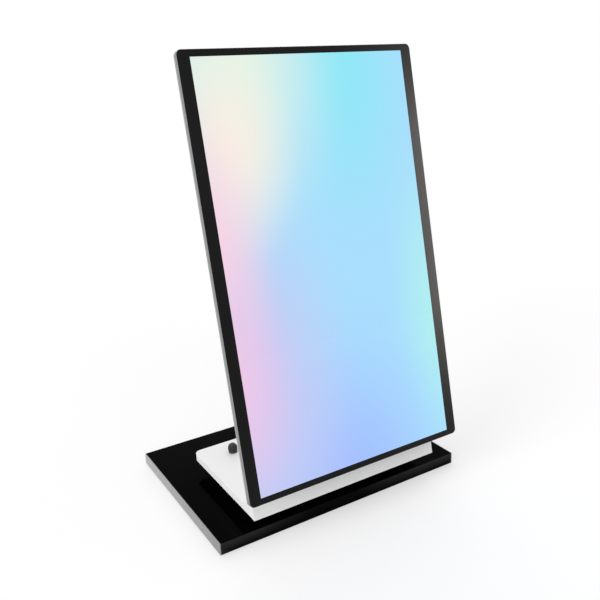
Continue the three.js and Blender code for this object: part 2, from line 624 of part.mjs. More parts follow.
function hingePieces() {
  const pieces = [];
  for (const [side, label] of [[-1, 'left'], [1, 'right']]) {
    pieces.push(piece(`stand_bracket_${label}`, bracket(-1, side), ZINC));
    pieces.push(piece(`panel_bracket_${label}`, bracket(1, side), ZINC));
    pieces.push(...hingeStack(side, label));
  }
  bracketScrewSpots(-1).forEach(([x, z], i) => {
    pieces.push(piece(`stand_bracket_screw_${i + 1}`, bracketScrew(-1, x, z), ZINC));
  });
  bracketScrewSpots(1).forEach(([x, z], i) => {
    pieces.push(piece(`panel_bracket_screw_${i + 1}`, bracketScrew(1, x, z), ZINC));
  });
  return pieces;
}

// ---- Panel ------------------------------------------------------------------------
function coverScrewSpots() {
  const spots = [];
  for (const side of [-1, 1]) {
    for (const z of [COVER_SCREW_END, PANEL_H / 2, PANEL_H - COVER_SCREW_END]) {
      spots.push([side * (PANEL_W / 2 - COVER_SCREW_INSET), z]);
    }
  }
  return spots;
}

function panelPieces() {
  const half = PANEL_W / 2;
  const outline = () => roundedShape(-half, half, 0, PANEL_H, PANEL_CORNER);
  const inner = half - RIM_W;
  const opening = box(-inner, inner, RIM_Y - PAST, RIM_BACK + PAST, RIM_W, PANEL_H - RIM_W);
  let rim = solid(wallPlate(outline(), RIM_Y, RIM_BACK)).subtract(opening);
  let board = box(-inner + SEAT, inner - SEAT, RIM_Y, RIM_BACK, RIM_W + SEAT, PANEL_H - RIM_W - SEAT);
  const coverOutline = roundedShape(COVER_INSET - half, half - COVER_INSET,
    COVER_INSET, PANEL_H - COVER_INSET, COVER_CORNER);
  let cover = solid(wallPlate(coverOutline, COVER_Y, COVER_BACK));
  const hole = (radius, x, z) => placed(
    rod(radius + HOLE, PANEL_SCREW_TIP - END_ROOM, COVER_BACK + PAST, 'y', SMALL), x, 0, z);
  for (const [x, z] of bracketScrewSpots(1)) {
    board = board.subtract(hole(SCREW_R, x, z));
    cover = cover.subtract(hole(SCREW_R, x, z));
  }
  const size = { radius: SMALL_SCREW_R, headR: SMALL_HEAD_R, headT: SMALL_HEAD_T, depth: SMALL_SOCKET_DEPTH };
  const screws = coverScrewSpots().map(([x, z], i) => {
    rim = rim.subtract(hole(SMALL_SCREW_R, x, z));
    cover = cover.subtract(hole(SMALL_SCREW_R, x, z));
    return piece(`cover_screw_${i + 1}`, leaningScrew(size, x, z, COVER_BACK + RUN, PANEL_SCREW_TIP), ZINC);
  });
  return [
    piece('mirror_glass', solid(wallPlate(outline(), 0, GLASS_T)), MIRROR),
    piece('panel_rim', rim, RIM_SILVER),
    piece('carrier_board', board, BOARD_BLACK),
    piece('rear_cover', cover, COVER_BLACK),
    ...screws,
  ];
}

// ---- Assembly ---------------------------------------------------------------------
const mirror = new THREE.Group();
mirror.add(...basePieces(), ...turntablePieces(), ...standPieces(), ...knobPieces());
leanFrame.add(...hingePieces(), ...panelPieces());
mirror.add(leanFrame);

export default mirror;
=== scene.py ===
import json
import math

import bmesh
import bpy
from mathutils import Matrix, Vector


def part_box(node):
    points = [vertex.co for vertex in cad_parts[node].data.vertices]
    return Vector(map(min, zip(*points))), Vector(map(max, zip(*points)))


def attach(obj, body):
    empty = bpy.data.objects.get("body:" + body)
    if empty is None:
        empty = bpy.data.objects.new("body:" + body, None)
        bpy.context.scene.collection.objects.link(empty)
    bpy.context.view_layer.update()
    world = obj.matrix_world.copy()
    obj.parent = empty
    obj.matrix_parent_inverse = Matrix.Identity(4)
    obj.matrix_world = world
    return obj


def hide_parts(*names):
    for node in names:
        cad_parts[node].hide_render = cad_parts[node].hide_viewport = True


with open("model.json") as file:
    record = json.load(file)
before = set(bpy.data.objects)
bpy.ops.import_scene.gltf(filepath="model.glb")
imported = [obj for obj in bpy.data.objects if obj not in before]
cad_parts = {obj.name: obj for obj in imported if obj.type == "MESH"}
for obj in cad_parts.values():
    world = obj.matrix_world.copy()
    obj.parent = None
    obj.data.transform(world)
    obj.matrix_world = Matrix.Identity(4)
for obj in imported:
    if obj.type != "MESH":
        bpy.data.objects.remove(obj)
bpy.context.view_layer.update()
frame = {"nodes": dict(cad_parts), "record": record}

MM = 0.001

# ---- Sizes, in millimetres unless said ------------------------------------------
LEAN = math.radians(11.1)      # how far the panel and the upright lean back
GLASS_T = 3.0
BORDER_SIDE = 12.2             # black border at the sides, top and bottom of the face
BORDER_TOP = 6.6
BORDER_BOTTOM = 6.5
PANEL_CORNER = 5.0
RIM_W = 9.0
COVER_CORNER = 4.0
STAND_T = 8.0
STAND_EDGE = 1.5
FOOT_CORNER = 8.0
BEND_R = 14.0
UPRIGHT_STRAIGHT = 45.0
UPRIGHT_TOP_W = 150.0
UPRIGHT_CORNER = 18.0
SLAB_EDGE = 0.35
SCREW_SHANK = 2.0
SMALL_SHANK = 1.25
HINGE_BORE = 3.1
PIVOT_BORE = 5.1
KNOB_COLLAR_R = 5.1
KNOB_GROOVE_R = 4.7
KNOB_GROOVE_H = 0.8
KNOB_GRIP_H = 2.2
KNOB_SIDES = 60
KNOB_DOME_STEPS = 8
KNOB_FLUTES = 10
KNOB_FLUTE_TOP = 0.7           # how far up the dome the flutes reach
KNOB_FLUTE_DEPTH = 0.74
EAR_R = 6.5
EAR_T = 3.0
BRACKET_T = 2.5
BRACKET_CORNER = 2.0
HUB_R = 34.0                   # turntable: hub, its pocket for the nut, flange and glide ring
HUB_POCKET_R = 13.0
HUB_FLOOR = 5.0
FLANGE_T = 4.0
GLIDE_BORE_R = 20.0
GLIDE_R = 38.0
GRIP_CORNER = 6.0
UPRIGHT_TOP_R = 14.0
SINK_SHANK_R = 2.15            # countersinks in the foot, and the hole for the thread insert
SINK_R = 4.3
SINK_DEPTH = 2.2
SINK_RIM = 0.15
INSERT_R = 4.65
BOLT_HEAD_T = 3.2
BOLT_SOCKET_R = 2.6
BOLT_SOCKET_DEPTH = 2.0
NUT_CHAMFER = 0.6
BRACKET_HEAD_T = 2.2
COVER_HEAD_T = 1.1
FLUSH_SOCKET_R = 1.7
FLUSH_SOCKET_DEPTH = 1.4
DISH = 0.4                     # how far a disc spring stands out
PAST = 1.0                     # how far a cutting tool runs past the piece

# ---- Camera -----------------------------------------------------------------------
CAMERA_PLACE = Vector((-0.3708, -0.6606, 0.4435))
CAMERA_AZIMUTH = math.radians(-30.38)
CAMERA_ELEVATION = math.radians(17.436)
CAMERA_ROLL = math.radians(-2.77)
CAMERA_LENS = 42.7
CAMERA_SENSOR = 36.0


def add_camera():
    """Camera at eye level, to the left of the object and a little above it."""
    az, el, roll = CAMERA_AZIMUTH, CAMERA_ELEVATION, CAMERA_ROLL
    ahead = Vector((-math.sin(az) * math.cos(el), math.cos(az) * math.cos(el), -math.sin(el)))
    right = ahead.cross(Vector((0, 0, 1))).normalized()
    up = right.cross(ahead)
    across = right * math.cos(roll) + up * math.sin(roll)
    upward = up * math.cos(roll) - right * math.sin(roll)
    data = bpy.data.cameras.new("camera")
    data.lens = CAMERA_LENS
    data.sensor_width = CAMERA_SENSOR
    data.clip_start = 0.01
    camera = bpy.data.objects.new("camera", data)
    bpy.context.scene.collection.objects.link(camera)
    turn = Matrix((across, upward, -ahead)).transposed()
    camera.matrix_world = Matrix.Translation(CAMERA_PLACE) @ turn.to_4x4()
    bpy.context.scene.camera = camera


# ---- Colours ------------------------------------------------------------------------
def shade(red, green, blue):
    """A colour given as screen values from 0 to 255, as linear light."""
    def linear(value):
        value /= 255
        return value / 12.92 if value <= 0.04045 else ((value + 0.055) / 1.055) ** 2.4
    return (linear(red), linear(green), linear(blue), 1.0)


SKY_BLUE = shade(170, 222, 253)
CYAN = shade(145, 232, 247)
PALE_AQUA = shade(178, 240, 240)
PERIWINKLE = shade(163, 190, 255)
LAVENDER = shade(203, 200, 242)
MINT = shade(226, 245, 230)
CREAM = shade(247, 240, 228)
BLUSH = shade(250, 214, 228)
ORCHID = shade(237, 200, 232)


# ---- Node helpers ---------------------------------------------------------------------
def new_material(name, metallic=0.0, roughness=0.5, specular=0.5):
    material = bpy.data.materials.new(name)
    material.use_nodes = True
    surface = material.node_tree.nodes["Principled BSDF"]
    surface.inputs["Metallic"].default_value = metallic
    surface.inputs["Roughness"].default_value = roughness
    surface.inputs["Specular IOR Level"].default_value = specular
    return material, material.node_tree, surface


def add_node(tree, kind, **settings):
    node = tree.nodes.new(kind)
    for key, value in settings.items():
        setattr(node, key, value)
    return node


def feed(tree, source, target):
    tree.links.new(source, target)


def object_place(tree):
    return add_node(tree, "ShaderNodeTexCoord").outputs["Object"]


def noise(tree, place, scale, detail=3.0, rough=0.5):
    node = add_node(tree, "ShaderNodeTexNoise")
    node.inputs["Scale"].default_value = scale
    node.inputs["Detail"].default_value = detail
    node.inputs["Roughness"].default_value = rough
    feed(tree, place, node.inputs["Vector"])
    return node.outputs["Fac"]


def stretched(tree, place, scale):
    node = add_node(tree, "ShaderNodeMapping")
    node.inputs["Scale"].default_value = scale
    feed(tree, place, node.inputs["Vector"])
    return node.outputs["Vector"]


def spread(tree, value, low, high, new_low, new_high):
    """Maps a value's range from low..high to new_low..new_high, held at both ends."""
    node = add_node(tree, "ShaderNodeMapRange")
    for key, number in (("From Min", low), ("From Max", high), ("To Min", new_low), ("To Max", new_high)):
        if isinstance(number, (int, float)):
            node.inputs[key].default_value = number
        else:
            feed(tree, number, node.inputs[key])
    feed(tree, value, node.inputs["Value"])
    return node.outputs["Result"]


def arithmetic(tree, operation, first, second):
    node = add_node(tree, "ShaderNodeMath", operation=operation)
    for socket, value in zip(node.inputs, (first, second)):
        if isinstance(value, (int, float)):
            socket.default_value = value
        else:
            feed(tree, value, socket)
    return node.outputs["Value"]


def blend_colour(tree, mask, first, second):
    node = add_node(tree, "ShaderNodeMix", data_type="RGBA")
    feed(tree, mask, node.inputs["Factor"])
    for socket, value in ((node.inputs[6], first), (node.inputs[7], second)):
        if isinstance(value, tuple):
            socket.default_value = value
        else:
            feed(tree, value, socket)
    return node.outputs[2]


def raise_bumps(tree, surface, height, strength, distance):
    bump = add_node(tree, "ShaderNodeBump")
    bump.inputs["Strength"].default_value = strength
    bump.inputs["Distance"].default_value = distance
    feed(tree, height, bump.inputs["Height"])
    feed(tree, bump.outputs["Normal"], surface.inputs["Normal"])


def new_group(name, inputs, outputs):
    """An effect with named inputs and outputs, that several materials use."""
    tree = bpy.data.node_groups.new(name, "ShaderNodeTree")
    for label, kind, value in inputs:
        socket = tree.interface.new_socket(label, in_out="INPUT", socket_type=kind)
        if value is not None:
            socket.default_value = value
    for label, kind in outputs:
        tree.interface.new_socket(label, in_out="OUTPUT", socket_type=kind)
    return tree, add_node(tree, "NodeGroupInput").outputs, add_node(tree, "NodeGroupOutput").inputs


def use_group(tree, group, place, **values):
    node = add_node(tree, "ShaderNodeGroup", node_tree=group)
    feed(tree, place, node.inputs["Place"])
    for key, value in values.items():
        node.inputs[key.replace("_", " ")].default_value = value
    return node.outputs


# ---- Effects shared by the materials -----------------------------------------------------
def make_mottle():
    """Slow, faint change of a colour over a surface, with the same change for its gloss."""
    tree, given, result = new_group(
        "mottle",
        (("Place", "NodeSocketVector", None), ("Scale", "NodeSocketFloat", 12.0),
         ("Light", "NodeSocketColor", (0.8, 0.8, 0.8, 1)),
         ("Dark", "NodeSocketColor", (0.7, 0.7, 0.7, 1)),
         ("Gloss low", "NodeSocketFloat", 0.3), ("Gloss high", "NodeSocketFloat", 0.4)),
        (("Colour", "NodeSocketColor"), ("Roughness", "NodeSocketFloat")))
    cloud = add_node(tree, "ShaderNodeTexNoise")
    cloud.inputs["Detail"].default_value = 5.0
    cloud.inputs["Roughness"].default_value = 0.6
    feed(tree, given["Place"], cloud.inputs["Vector"])
    feed(tree, given["Scale"], cloud.inputs["Scale"])
    mask = spread(tree, cloud.outputs["Fac"], 0.35, 0.65, 0.0, 1.0)
    feed(tree, blend_colour(tree, mask, given["Dark"], given["Light"]), result["Colour"])
    feed(tree, spread(tree, mask, 0.0, 1.0, given["Gloss low"], given["Gloss high"]), result["Roughness"])
    return tree


def make_grain():
    """Fine spark-eroded texture of moulded plastic, as a height."""
    tree, given, result = new_group(
        "moulded grain",
        (("Place", "NodeSocketVector", None), ("Scale", "NodeSocketFloat", 2500.0)),
        (("Height", "NodeSocketFloat"),))
    cells = add_node(tree, "ShaderNodeTexVoronoi", feature="SMOOTH_F1")
    cells.inputs["Smoothness"].default_value = 0.6
    feed(tree, given["Place"], cells.inputs["Vector"])
    feed(tree, given["Scale"], cells.inputs["Scale"])
    feed(tree, cells.outputs["Distance"], result["Height"])
    return tree


def make_brushing():
    """Long fine lines left by brushing along one direction, as a value from 0 to 1."""
    tree, given, result = new_group(
        "brushing",
        (("Place", "NodeSocketVector", None), ("Stretch", "NodeSocketVector", (20.0, 2000.0, 2000.0))),
        (("Lines", "NodeSocketFloat"),))
    drawn = add_node(tree, "ShaderNodeVectorMath", operation="MULTIPLY")
    feed(tree, given["Place"], drawn.inputs[0])
    feed(tree, given["Stretch"], drawn.inputs[1])
    fine = noise(tree, drawn.outputs["Vector"], 1.0, 4.0, 0.7)
    feed(tree, spread(tree, fine, 0.3, 0.7, 0.0, 1.0), result["Lines"])
    return tree


def make_dust():
    """Sparse specks of dust with a few faint wipe marks, as a mask."""
    tree, given, result = new_group(
        "dust",
        (("Place", "NodeSocketVector", None), ("Specks", "NodeSocketFloat", 900.0),
         ("Amount", "NodeSocketFloat", 1.0)),
        (("Mask", "NodeSocketFloat"),))
    cells = add_node(tree, "ShaderNodeTexVoronoi", feature="F1")
    feed(tree, given["Place"], cells.inputs["Vector"])
    feed(tree, given["Specks"], cells.inputs["Scale"])
    speck = spread(tree, cells.outputs["Distance"], 0.05, 0.11, 1.0, 0.0)
    patches = spread(tree, noise(tree, given["Place"], 35.0, 3.0, 0.6), 0.5, 0.7, 0.0, 1.0)
    wipes = noise(tree, stretched(tree, given["Place"], (90.0, 6.0, 6.0)), 1.0, 2.0, 0.5)
    haze_and_painted_sheen = spread(tree, wipes, 0.55, 0.8, 0.0, 0.25)
    mask = arithmetic(tree, "ADD", arithmetic(tree, "MULTIPLY", speck, patches), haze_and_painted_sheen)
    feed(tree, arithmetic(tree, "MULTIPLY", mask, given["Amount"]), result["Mask"])
    return tree


MOTTLE = make_mottle()
GRAIN = make_grain()
BRUSHING = make_brushing()
DUST = make_dust()


# ---- Materials -----------------------------------------------------------------------------
def black_acrylic():
    material, tree, surface = new_material("black acrylic", roughness=0.12, specular=0.007)
    place = object_place(tree)
    base = use_group(tree, MOTTLE, place, Scale=6.0,
                     Light=(0.0012, 0.0012, 0.0013, 1), Dark=(0.0006, 0.0006, 0.0006, 1),
                     Gloss_low=0.08, Gloss_high=0.16)
    dust = use_group(tree, DUST, place, Specks=700.0, Amount=0.2)
    colour = blend_colour(tree, dust["Mask"], base["Colour"], (0.02, 0.02, 0.021, 1))
    feed(tree, colour, surface.inputs["Base Color"])
    feed(tree, base["Roughness"], surface.inputs["Roughness"])
    return material


def edge_with_painted_sheen():
    """The slab's machine polished front edge, with a painted sheen that is lighter towards its top and its
    two ends.
    """
    material, tree, surface = new_material("acrylic edge with painted sheen", roughness=0.3, specular=0.007)
    place = object_place(tree)
    split = add_node(tree, "ShaderNodeSeparateXYZ")
    feed(tree, place, split.inputs["Vector"])
    from_middle = arithmetic(tree, "ABSOLUTE", arithmetic(tree, "ADD", split.outputs["X"], 0.015), 0.0)
    ends = spread(tree, from_middle, 0.03, 0.125, 0.12, 1.0)
    upper = spread(tree, split.outputs["Z"], 0.003, 0.012, 0.15, 1.0)
    tip = spread(tree, split.outputs["X"], -0.15, -0.135, 0.8, 0.0)
    # Painted sheen: the edge turns from black to grey towards its top and its two ends.
    haze_and_painted_sheen = arithmetic(tree, "MULTIPLY", ends, arithmetic(tree, "MAXIMUM", upper, tip))
    base = use_group(tree, MOTTLE, place, Scale=25.0,
                     Light=(0.032, 0.032, 0.033, 1), Dark=(0.025, 0.025, 0.026, 1),
                     Gloss_low=0.25, Gloss_high=0.35)
    colour = blend_colour(tree, haze_and_painted_sheen, (0.001, 0.001, 0.001, 1), base["Colour"])
    feed(tree, colour, surface.inputs["Base Color"])
    feed(tree, base["Roughness"], surface.inputs["Roughness"])
    return material


def grey_band():
    material, tree, surface = new_material("grey edge band", roughness=0.5, specular=0.3)
    place = object_place(tree)
    base = use_group(tree, MOTTLE, place, Scale=18.0,
                     Light=(0.385, 0.385, 0.385, 1), Dark=(0.35, 0.35, 0.355, 1),
                     Gloss_low=0.42, Gloss_high=0.55)
    lines = use_group(tree, BRUSHING, place, Stretch=(900.0, 12.0, 2600.0))
    split = add_node(tree, "ShaderNodeSeparateXYZ")
    feed(tree, place, split.inputs["Vector"])
    # Painted shade: the band is darker towards the slab's front; the brushed lines added to the same mask
    # are real.
    front = spread(tree, split.outputs["Y"], -0.1, 0.1, 0.9, 0.0)
    mask = arithmetic(tree, "ADD", front, spread(tree, lines["Lines"], 0.0, 1.0, 0.0, 0.15))
    colour = blend_colour(tree, mask, base["Colour"], (0.24, 0.24, 0.24, 1))
    feed(tree, colour, surface.inputs["Base Color"])
    feed(tree, base["Roughness"], surface.inputs["Roughness"])
    raise_bumps(tree, surface, lines["Lines"], 0.15, 0.0001)
    return material


def white_acrylic():
    material, tree, surface = new_material("white acrylic", roughness=0.3, specular=0.35)
    place = object_place(tree)
    base = use_group(tree, MOTTLE, place, Scale=5.0,
                     Light=(0.859, 0.859, 0.859, 1), Dark=(0.855, 0.855, 0.855, 1),
                     Gloss_low=0.29, Gloss_high=0.32)
    feed(tree, base["Colour"], surface.inputs["Base Color"])
    feed(tree, base["Roughness"], surface.inputs["Roughness"])
    raise_bumps(tree, surface, noise(tree, place, 60.0, 2.0), 0.03, 0.0004)
    return material


def zinc_steel():
    material, tree, surface = new_material("zinc plated steel", metallic=1.0, roughness=0.35)
    place = object_place(tree)
    base = use_group(tree, MOTTLE, place, Scale=220.0,
                     Light=(0.62, 0.63, 0.64, 1), Dark=(0.46, 0.47, 0.49, 1),
                     Gloss_low=0.28, Gloss_high=0.42)
    lines = use_group(tree, BRUSHING, place, Stretch=(300.0, 5200.0, 5200.0))
    feed(tree, base["Colour"], surface.inputs["Base Color"])
    feed(tree, base["Roughness"], surface.inputs["Roughness"])
    raise_bumps(tree, surface, lines["Lines"], 0.12, 0.00005)
    return material


def natural_nylon():
    material, tree, surface = new_material("natural nylon", roughness=0.5)
    place = object_place(tree)
    base = use_group(tree, MOTTLE, place, Scale=150.0,
                     Light=(0.8, 0.77, 0.68, 1), Dark=(0.72, 0.69, 0.6, 1),
                     Gloss_low=0.42, Gloss_high=0.55)
    feed(tree, base["Colour"], surface.inputs["Base Color"])
    feed(tree, base["Roughness"], surface.inputs["Roughness"])
    return material


def turned_brass():
    material, tree, surface = new_material("turned brass", metallic=1.0, roughness=0.3)
    place = object_place(tree)
    base = use_group(tree, MOTTLE, place, Scale=300.0,
                     Light=(0.72, 0.55, 0.25, 1), Dark=(0.55, 0.4, 0.16, 1),
                     Gloss_low=0.25, Gloss_high=0.4)
    feed(tree, base["Colour"], surface.inputs["Base Color"])
    feed(tree, base["Roughness"], surface.inputs["Roughness"])
    return material


def pad_rubber():
    material, tree, surface = new_material("antislip rubber", roughness=0.85, specular=0.3)
    place = object_place(tree)
    base = use_group(tree, MOTTLE, place, Scale=40.0,
                     Light=(0.03, 0.03, 0.03, 1), Dark=(0.018, 0.018, 0.018, 1),
                     Gloss_low=0.75, Gloss_high=0.9)
    grain = use_group(tree, GRAIN, place, Scale=500.0)
    feed(tree, base["Colour"], surface.inputs["Base Color"])
    feed(tree, base["Roughness"], surface.inputs["Roughness"])
    raise_bumps(tree, surface, grain["Height"], 0.8, 0.0005)
    return material


def knob_plastic():
    material, tree, surface = new_material("dark grey knob plastic", roughness=0.42, specular=0.5)
    place = object_place(tree)
    base = use_group(tree, MOTTLE, place, Scale=320.0,
                     Light=(0.035, 0.035, 0.037, 1), Dark=(0.018, 0.018, 0.019, 1),
                     Gloss_low=0.34, Gloss_high=0.5)
    grain = use_group(tree, GRAIN, place, Scale=3200.0)
    feed(tree, base["Colour"], surface.inputs["Base Color"])
    feed(tree, base["Roughness"], surface.inputs["Roughness"])
    raise_bumps(tree, surface, grain["Height"], 0.3, 0.0001)
    return material


def textured_cover():
    material, tree, surface = new_material("textured black cover", roughness=0.55, specular=0.4)
    place = object_place(tree)
    base = use_group(tree, MOTTLE, place, Scale=14.0,
                     Light=(0.026, 0.026, 0.028, 1), Dark=(0.016, 0.016, 0.018, 1),
                     Gloss_low=0.48, Gloss_high=0.62)
    grain = use_group(tree, GRAIN, place, Scale=1400.0)
    dust = use_group(tree, DUST, place, Specks=600.0, Amount=0.2)
    colour = blend_colour(tree, dust["Mask"], base["Colour"], (0.16, 0.155, 0.15, 1))
    feed(tree, colour, surface.inputs["Base Color"])
    feed(tree, base["Roughness"], surface.inputs["Roughness"])
    raise_bumps(tree, surface, grain["Height"], 0.5, 0.0002)
    return material


def board_composite():
    material, tree, surface = new_material("black composite board", roughness=0.7)
    place = object_place(tree)
    base = use_group(tree, MOTTLE, place, Scale=60.0,
                     Light=(0.03, 0.03, 0.03, 1), Dark=(0.015, 0.015, 0.015, 1),
                     Gloss_low=0.6, Gloss_high=0.8)
    feed(tree, base["Colour"], surface.inputs["Base Color"])
    feed(tree, base["Roughness"], surface.inputs["Roughness"])
    return material


def anodised_rim():
    material, tree, surface = new_material("satin anodised rim", metallic=0.75, roughness=0.42)
    place = object_place(tree)
    base = use_group(tree, MOTTLE, place, Scale=30.0,
                     Light=(0.4, 0.405, 0.41, 1), Dark=(0.33, 0.335, 0.34, 1),
                     Gloss_low=0.36, Gloss_high=0.46)
    lines = use_group(tree, BRUSHING, place, Stretch=(2400.0, 2400.0, 14.0))
    feed(tree, base["Colour"], surface.inputs["Base Color"])
    feed(tree, base["Roughness"], surface.inputs["Roughness"])
    raise_bumps(tree, surface, lines["Lines"], 0.15, 0.00008)
    return material


BORDER_PAINTED_SHEEN = (0.125, 0.118, 0.114, 1)    # painted sheen, a lighter grey on the border's right side


def panel_place(tree, place):
    """Where a point lies across the leaning panel and up it, each from 0 to 1."""
    mapping = add_node(tree, "ShaderNodeMapping", vector_type="TEXTURE")
    mapping.inputs["Location"].default_value = PANEL_ORIGIN
    mapping.inputs["Rotation"].default_value = (-LEAN, 0, 0)
    mapping.inputs["Scale"].default_value = (PANEL_SIZE.x, 1, PANEL_SIZE.z)
    feed(tree, place, mapping.inputs["Vector"])
    split = add_node(tree, "ShaderNodeSeparateXYZ")
    feed(tree, mapping.outputs["Vector"], split.inputs["Vector"])
    return arithmetic(tree, "ADD", split.outputs["X"], 0.5), split.outputs["Z"]


def border_print():
    material, tree, surface = new_material("black printed border", roughness=0.1, specular=0.12)
    place = object_place(tree)
    base = use_group(tree, MOTTLE, place, Scale=5.0,
                     Light=(0.005, 0.005, 0.0052, 1), Dark=(0.003, 0.003, 0.003, 1),
                     Gloss_low=0.06, Gloss_high=0.14)
    across, height = panel_place(tree, place)
    # Painted sheen: the border turns grey on its right half, most strongly part way up; the dust specks are
    # real.
    middle_up = arithmetic(tree, "MULTIPLY", spread(tree, height, 0.0, 0.35, 0.25, 1.0),
                           spread(tree, height, 0.8, 1.0, 1.0, 0.5))
    painted_sheen_mask = arithmetic(tree, "MULTIPLY", spread(tree, across, 0.5, 1.0, 0.0, 1.0), middle_up)
    border_with_painted_sheen = blend_colour(tree, arithmetic(tree, "POWER", painted_sheen_mask, 2.0), base["Colour"], BORDER_PAINTED_SHEEN)
    dust = use_group(tree, DUST, place, Specks=800.0, Amount=0.2)
    colour = blend_colour(tree, dust["Mask"], border_with_painted_sheen, (0.03, 0.03, 0.03, 1))
    feed(tree, colour, surface.inputs["Base Color"])
    feed(tree, base["Roughness"], surface.inputs["Roughness"])
    return material


def ground_edge():
    material, tree, surface = new_material("ground glass edge", roughness=0.5, specular=0.4)
    place = object_place(tree)
    base = use_group(tree, MOTTLE, place, Scale=40.0,
                     Light=(0.25, 0.255, 0.255, 1), Dark=(0.2, 0.205, 0.205, 1),
                     Gloss_low=0.42, Gloss_high=0.6)
    lines = use_group(tree, BRUSHING, place, Stretch=(2600.0, 2600.0, 18.0))
    feed(tree, base["Colour"], surface.inputs["Base Color"])
    feed(tree, base["Roughness"], surface.inputs["Roughness"])
    raise_bumps(tree, surface, lines["Lines"], 0.2, 0.0001)
    return material


# The mirror's painted reflection: soft pools of colour laid one over another on a sky blue ground.
# Each has its colour, then its middle and its reach, across and up, as shares of the panel.
PAINTED_REFLECTION_POOLS = (
    (CYAN, (0.65, 1.0), (0.4, 0.55)),
    (PALE_AQUA, (1.0, 0.35), (0.3, 0.5)),
    (PERIWINKLE, (0.45, -0.05), (0.6, 0.5)),
    (LAVENDER, (0.1, 0.25), (0.5, 0.6)),
    (MINT, (0.2, 1.0), (0.5, 0.5)),
    (CREAM, (0.15, 0.8), (0.3, 0.3)),
    (BLUSH, (0.0, 0.6), (0.3, 0.35)),
    (ORCHID, (0.0, 0.3), (0.3, 0.4)),
)


def lay_pool(tree, across_up, under, colour, middle, reach):
    """Lays a pool of colour over what is under it, full at its middle and gone at its reach."""
    centred = add_node(tree, "ShaderNodeMapping", vector_type="TEXTURE")
    centred.inputs["Location"].default_value = (*middle, 0)
    centred.inputs["Scale"].default_value = (*reach, 1)
    feed(tree, across_up, centred.inputs["Vector"])
    away = add_node(tree, "ShaderNodeVectorMath", operation="LENGTH")
    feed(tree, centred.outputs["Vector"], away.inputs[0])
    fade = add_node(tree, "ShaderNodeMapRange", interpolation_type="SMOOTHSTEP")
    fade.inputs["To Min"].default_value = 1.0
    fade.inputs["To Max"].default_value = 0.0
    feed(tree, away.outputs["Value"], fade.inputs["Value"])
    return blend_colour(tree, fade.outputs["Result"], under, colour)


def mirror_with_painted_reflection():
    """Silvered glass tinted with a painted reflection: soft pools of colour that follow the panel."""
    material, tree, surface = new_material("mirror with painted reflection", metallic=1.0, roughness=0.03)
    place = object_place(tree)
    across, height = panel_place(tree, place)
    face = add_node(tree, "ShaderNodeCombineXYZ")
    feed(tree, across, face.inputs["X"])
    feed(tree, height, face.inputs["Y"])
    colour = SKY_BLUE
    for tint, middle_point, reach in PAINTED_REFLECTION_POOLS:
        colour = lay_pool(tree, face.outputs["Vector"], colour, tint, middle_point, reach)
    feed(tree, colour, surface.inputs["Base Color"])
    smears = noise(tree, stretched(tree, place, (20.0, 20.0, 9.0)), 1.0, 3.0)
    feed(tree, spread(tree, smears, 0.3, 0.7, 0.015, 0.05), surface.inputs["Roughness"])
    return material


# ---- Shaping helpers ----------------------------------------------------------------------
def deselect():
    bpy.ops.object.select_all(action="DESELECT")


def make_active(obj):
    deselect()
    obj.select_set(True)
    bpy.context.view_layer.objects.active = obj


def settle(obj):
    """Puts the piece's place, turn and size into its mesh."""
    make_active(obj)
    bpy.ops.object.transform_apply(location=True, rotation=True, scale=True)
    return obj


def block(name, low, high):
    """A rectangular start for a piece, between two corners."""
    deselect()
    low, high = Vector(low), Vector(high)
    bpy.ops.mesh.primitive_cube_add(size=1, location=(low + high) / 2)
    obj = bpy.context.object
    obj.name = name
    obj.scale = high - low
    return settle(obj)


def open_edit(obj, kind):
    make_active(obj)
    bpy.ops.object.mode_set(mode="EDIT")
    bpy.ops.mesh.select_mode(type=kind)
    bpy.ops.mesh.select_all(action="DESELECT")


def close_edit():
    bpy.ops.object.mode_set(mode="OBJECT")


def pick(obj, kind, wanted):
    """Selects what the test holds for, in edit mode."""
    bpy.ops.mesh.select_all(action="DESELECT")
    mesh = bmesh.from_edit_mesh(obj.data)
    items = {"VERT": mesh.verts, "EDGE": mesh.edges, "FACE": mesh.faces}[kind]
    for item in items:
        if wanted(item):
            item.select_set(True)
    mesh.select_flush_mode()
    bmesh.update_edit_mesh(obj.data)


def edge_runs(edge, axis):
    """Whether an edge runs along an axis, given as 0, 1 or 2."""
    run = (edge.verts[0].co - edge.verts[1].co).normalized()
    return abs(run[axis]) > 0.999


def middle(edge):
    return (edge.verts[0].co + edge.verts[1].co) / 2


def round_edges(obj, wanted, radius, segments):
    open_edit(obj, "EDGE")
    pick(obj, "EDGE", wanted)
    bpy.ops.mesh.bevel(offset=radius, segments=segments, profile=0.5, affect="EDGES")
    close_edit()


def apply_modifier(obj, kind, **settings):
    make_active(obj)
    modifier = obj.modifiers.new("step", kind)
    for key, value in settings.items():
        setattr(modifier, key, value)
    bpy.ops.object.modifier_apply(modifier=modifier.name)


def smooth(obj, angle=35):
    make_active(obj)
    bpy.ops.object.shade_smooth_by_angle(angle=math.radians(angle))


def soften(obj, width, segments=3, angle=35):
    """Rounds every sharp edge by a small width, and shades the piece smooth."""
    apply_modifier(obj, "BEVEL", width=width, segments=segments, limit_method="ANGLE",
                   angle_limit=math.radians(angle))
    smooth(obj)


def cut(obj, tool):
    apply_modifier(obj, "BOOLEAN", operation="DIFFERENCE", solver="EXACT", object=tool)
    bpy.data.objects.remove(tool, do_unlink=True)


def weld(obj, other):
    apply_modifier(obj, "BOOLEAN", operation="UNION", solver="EXACT", object=other)
    bpy.data.objects.remove(other, do_unlink=True)


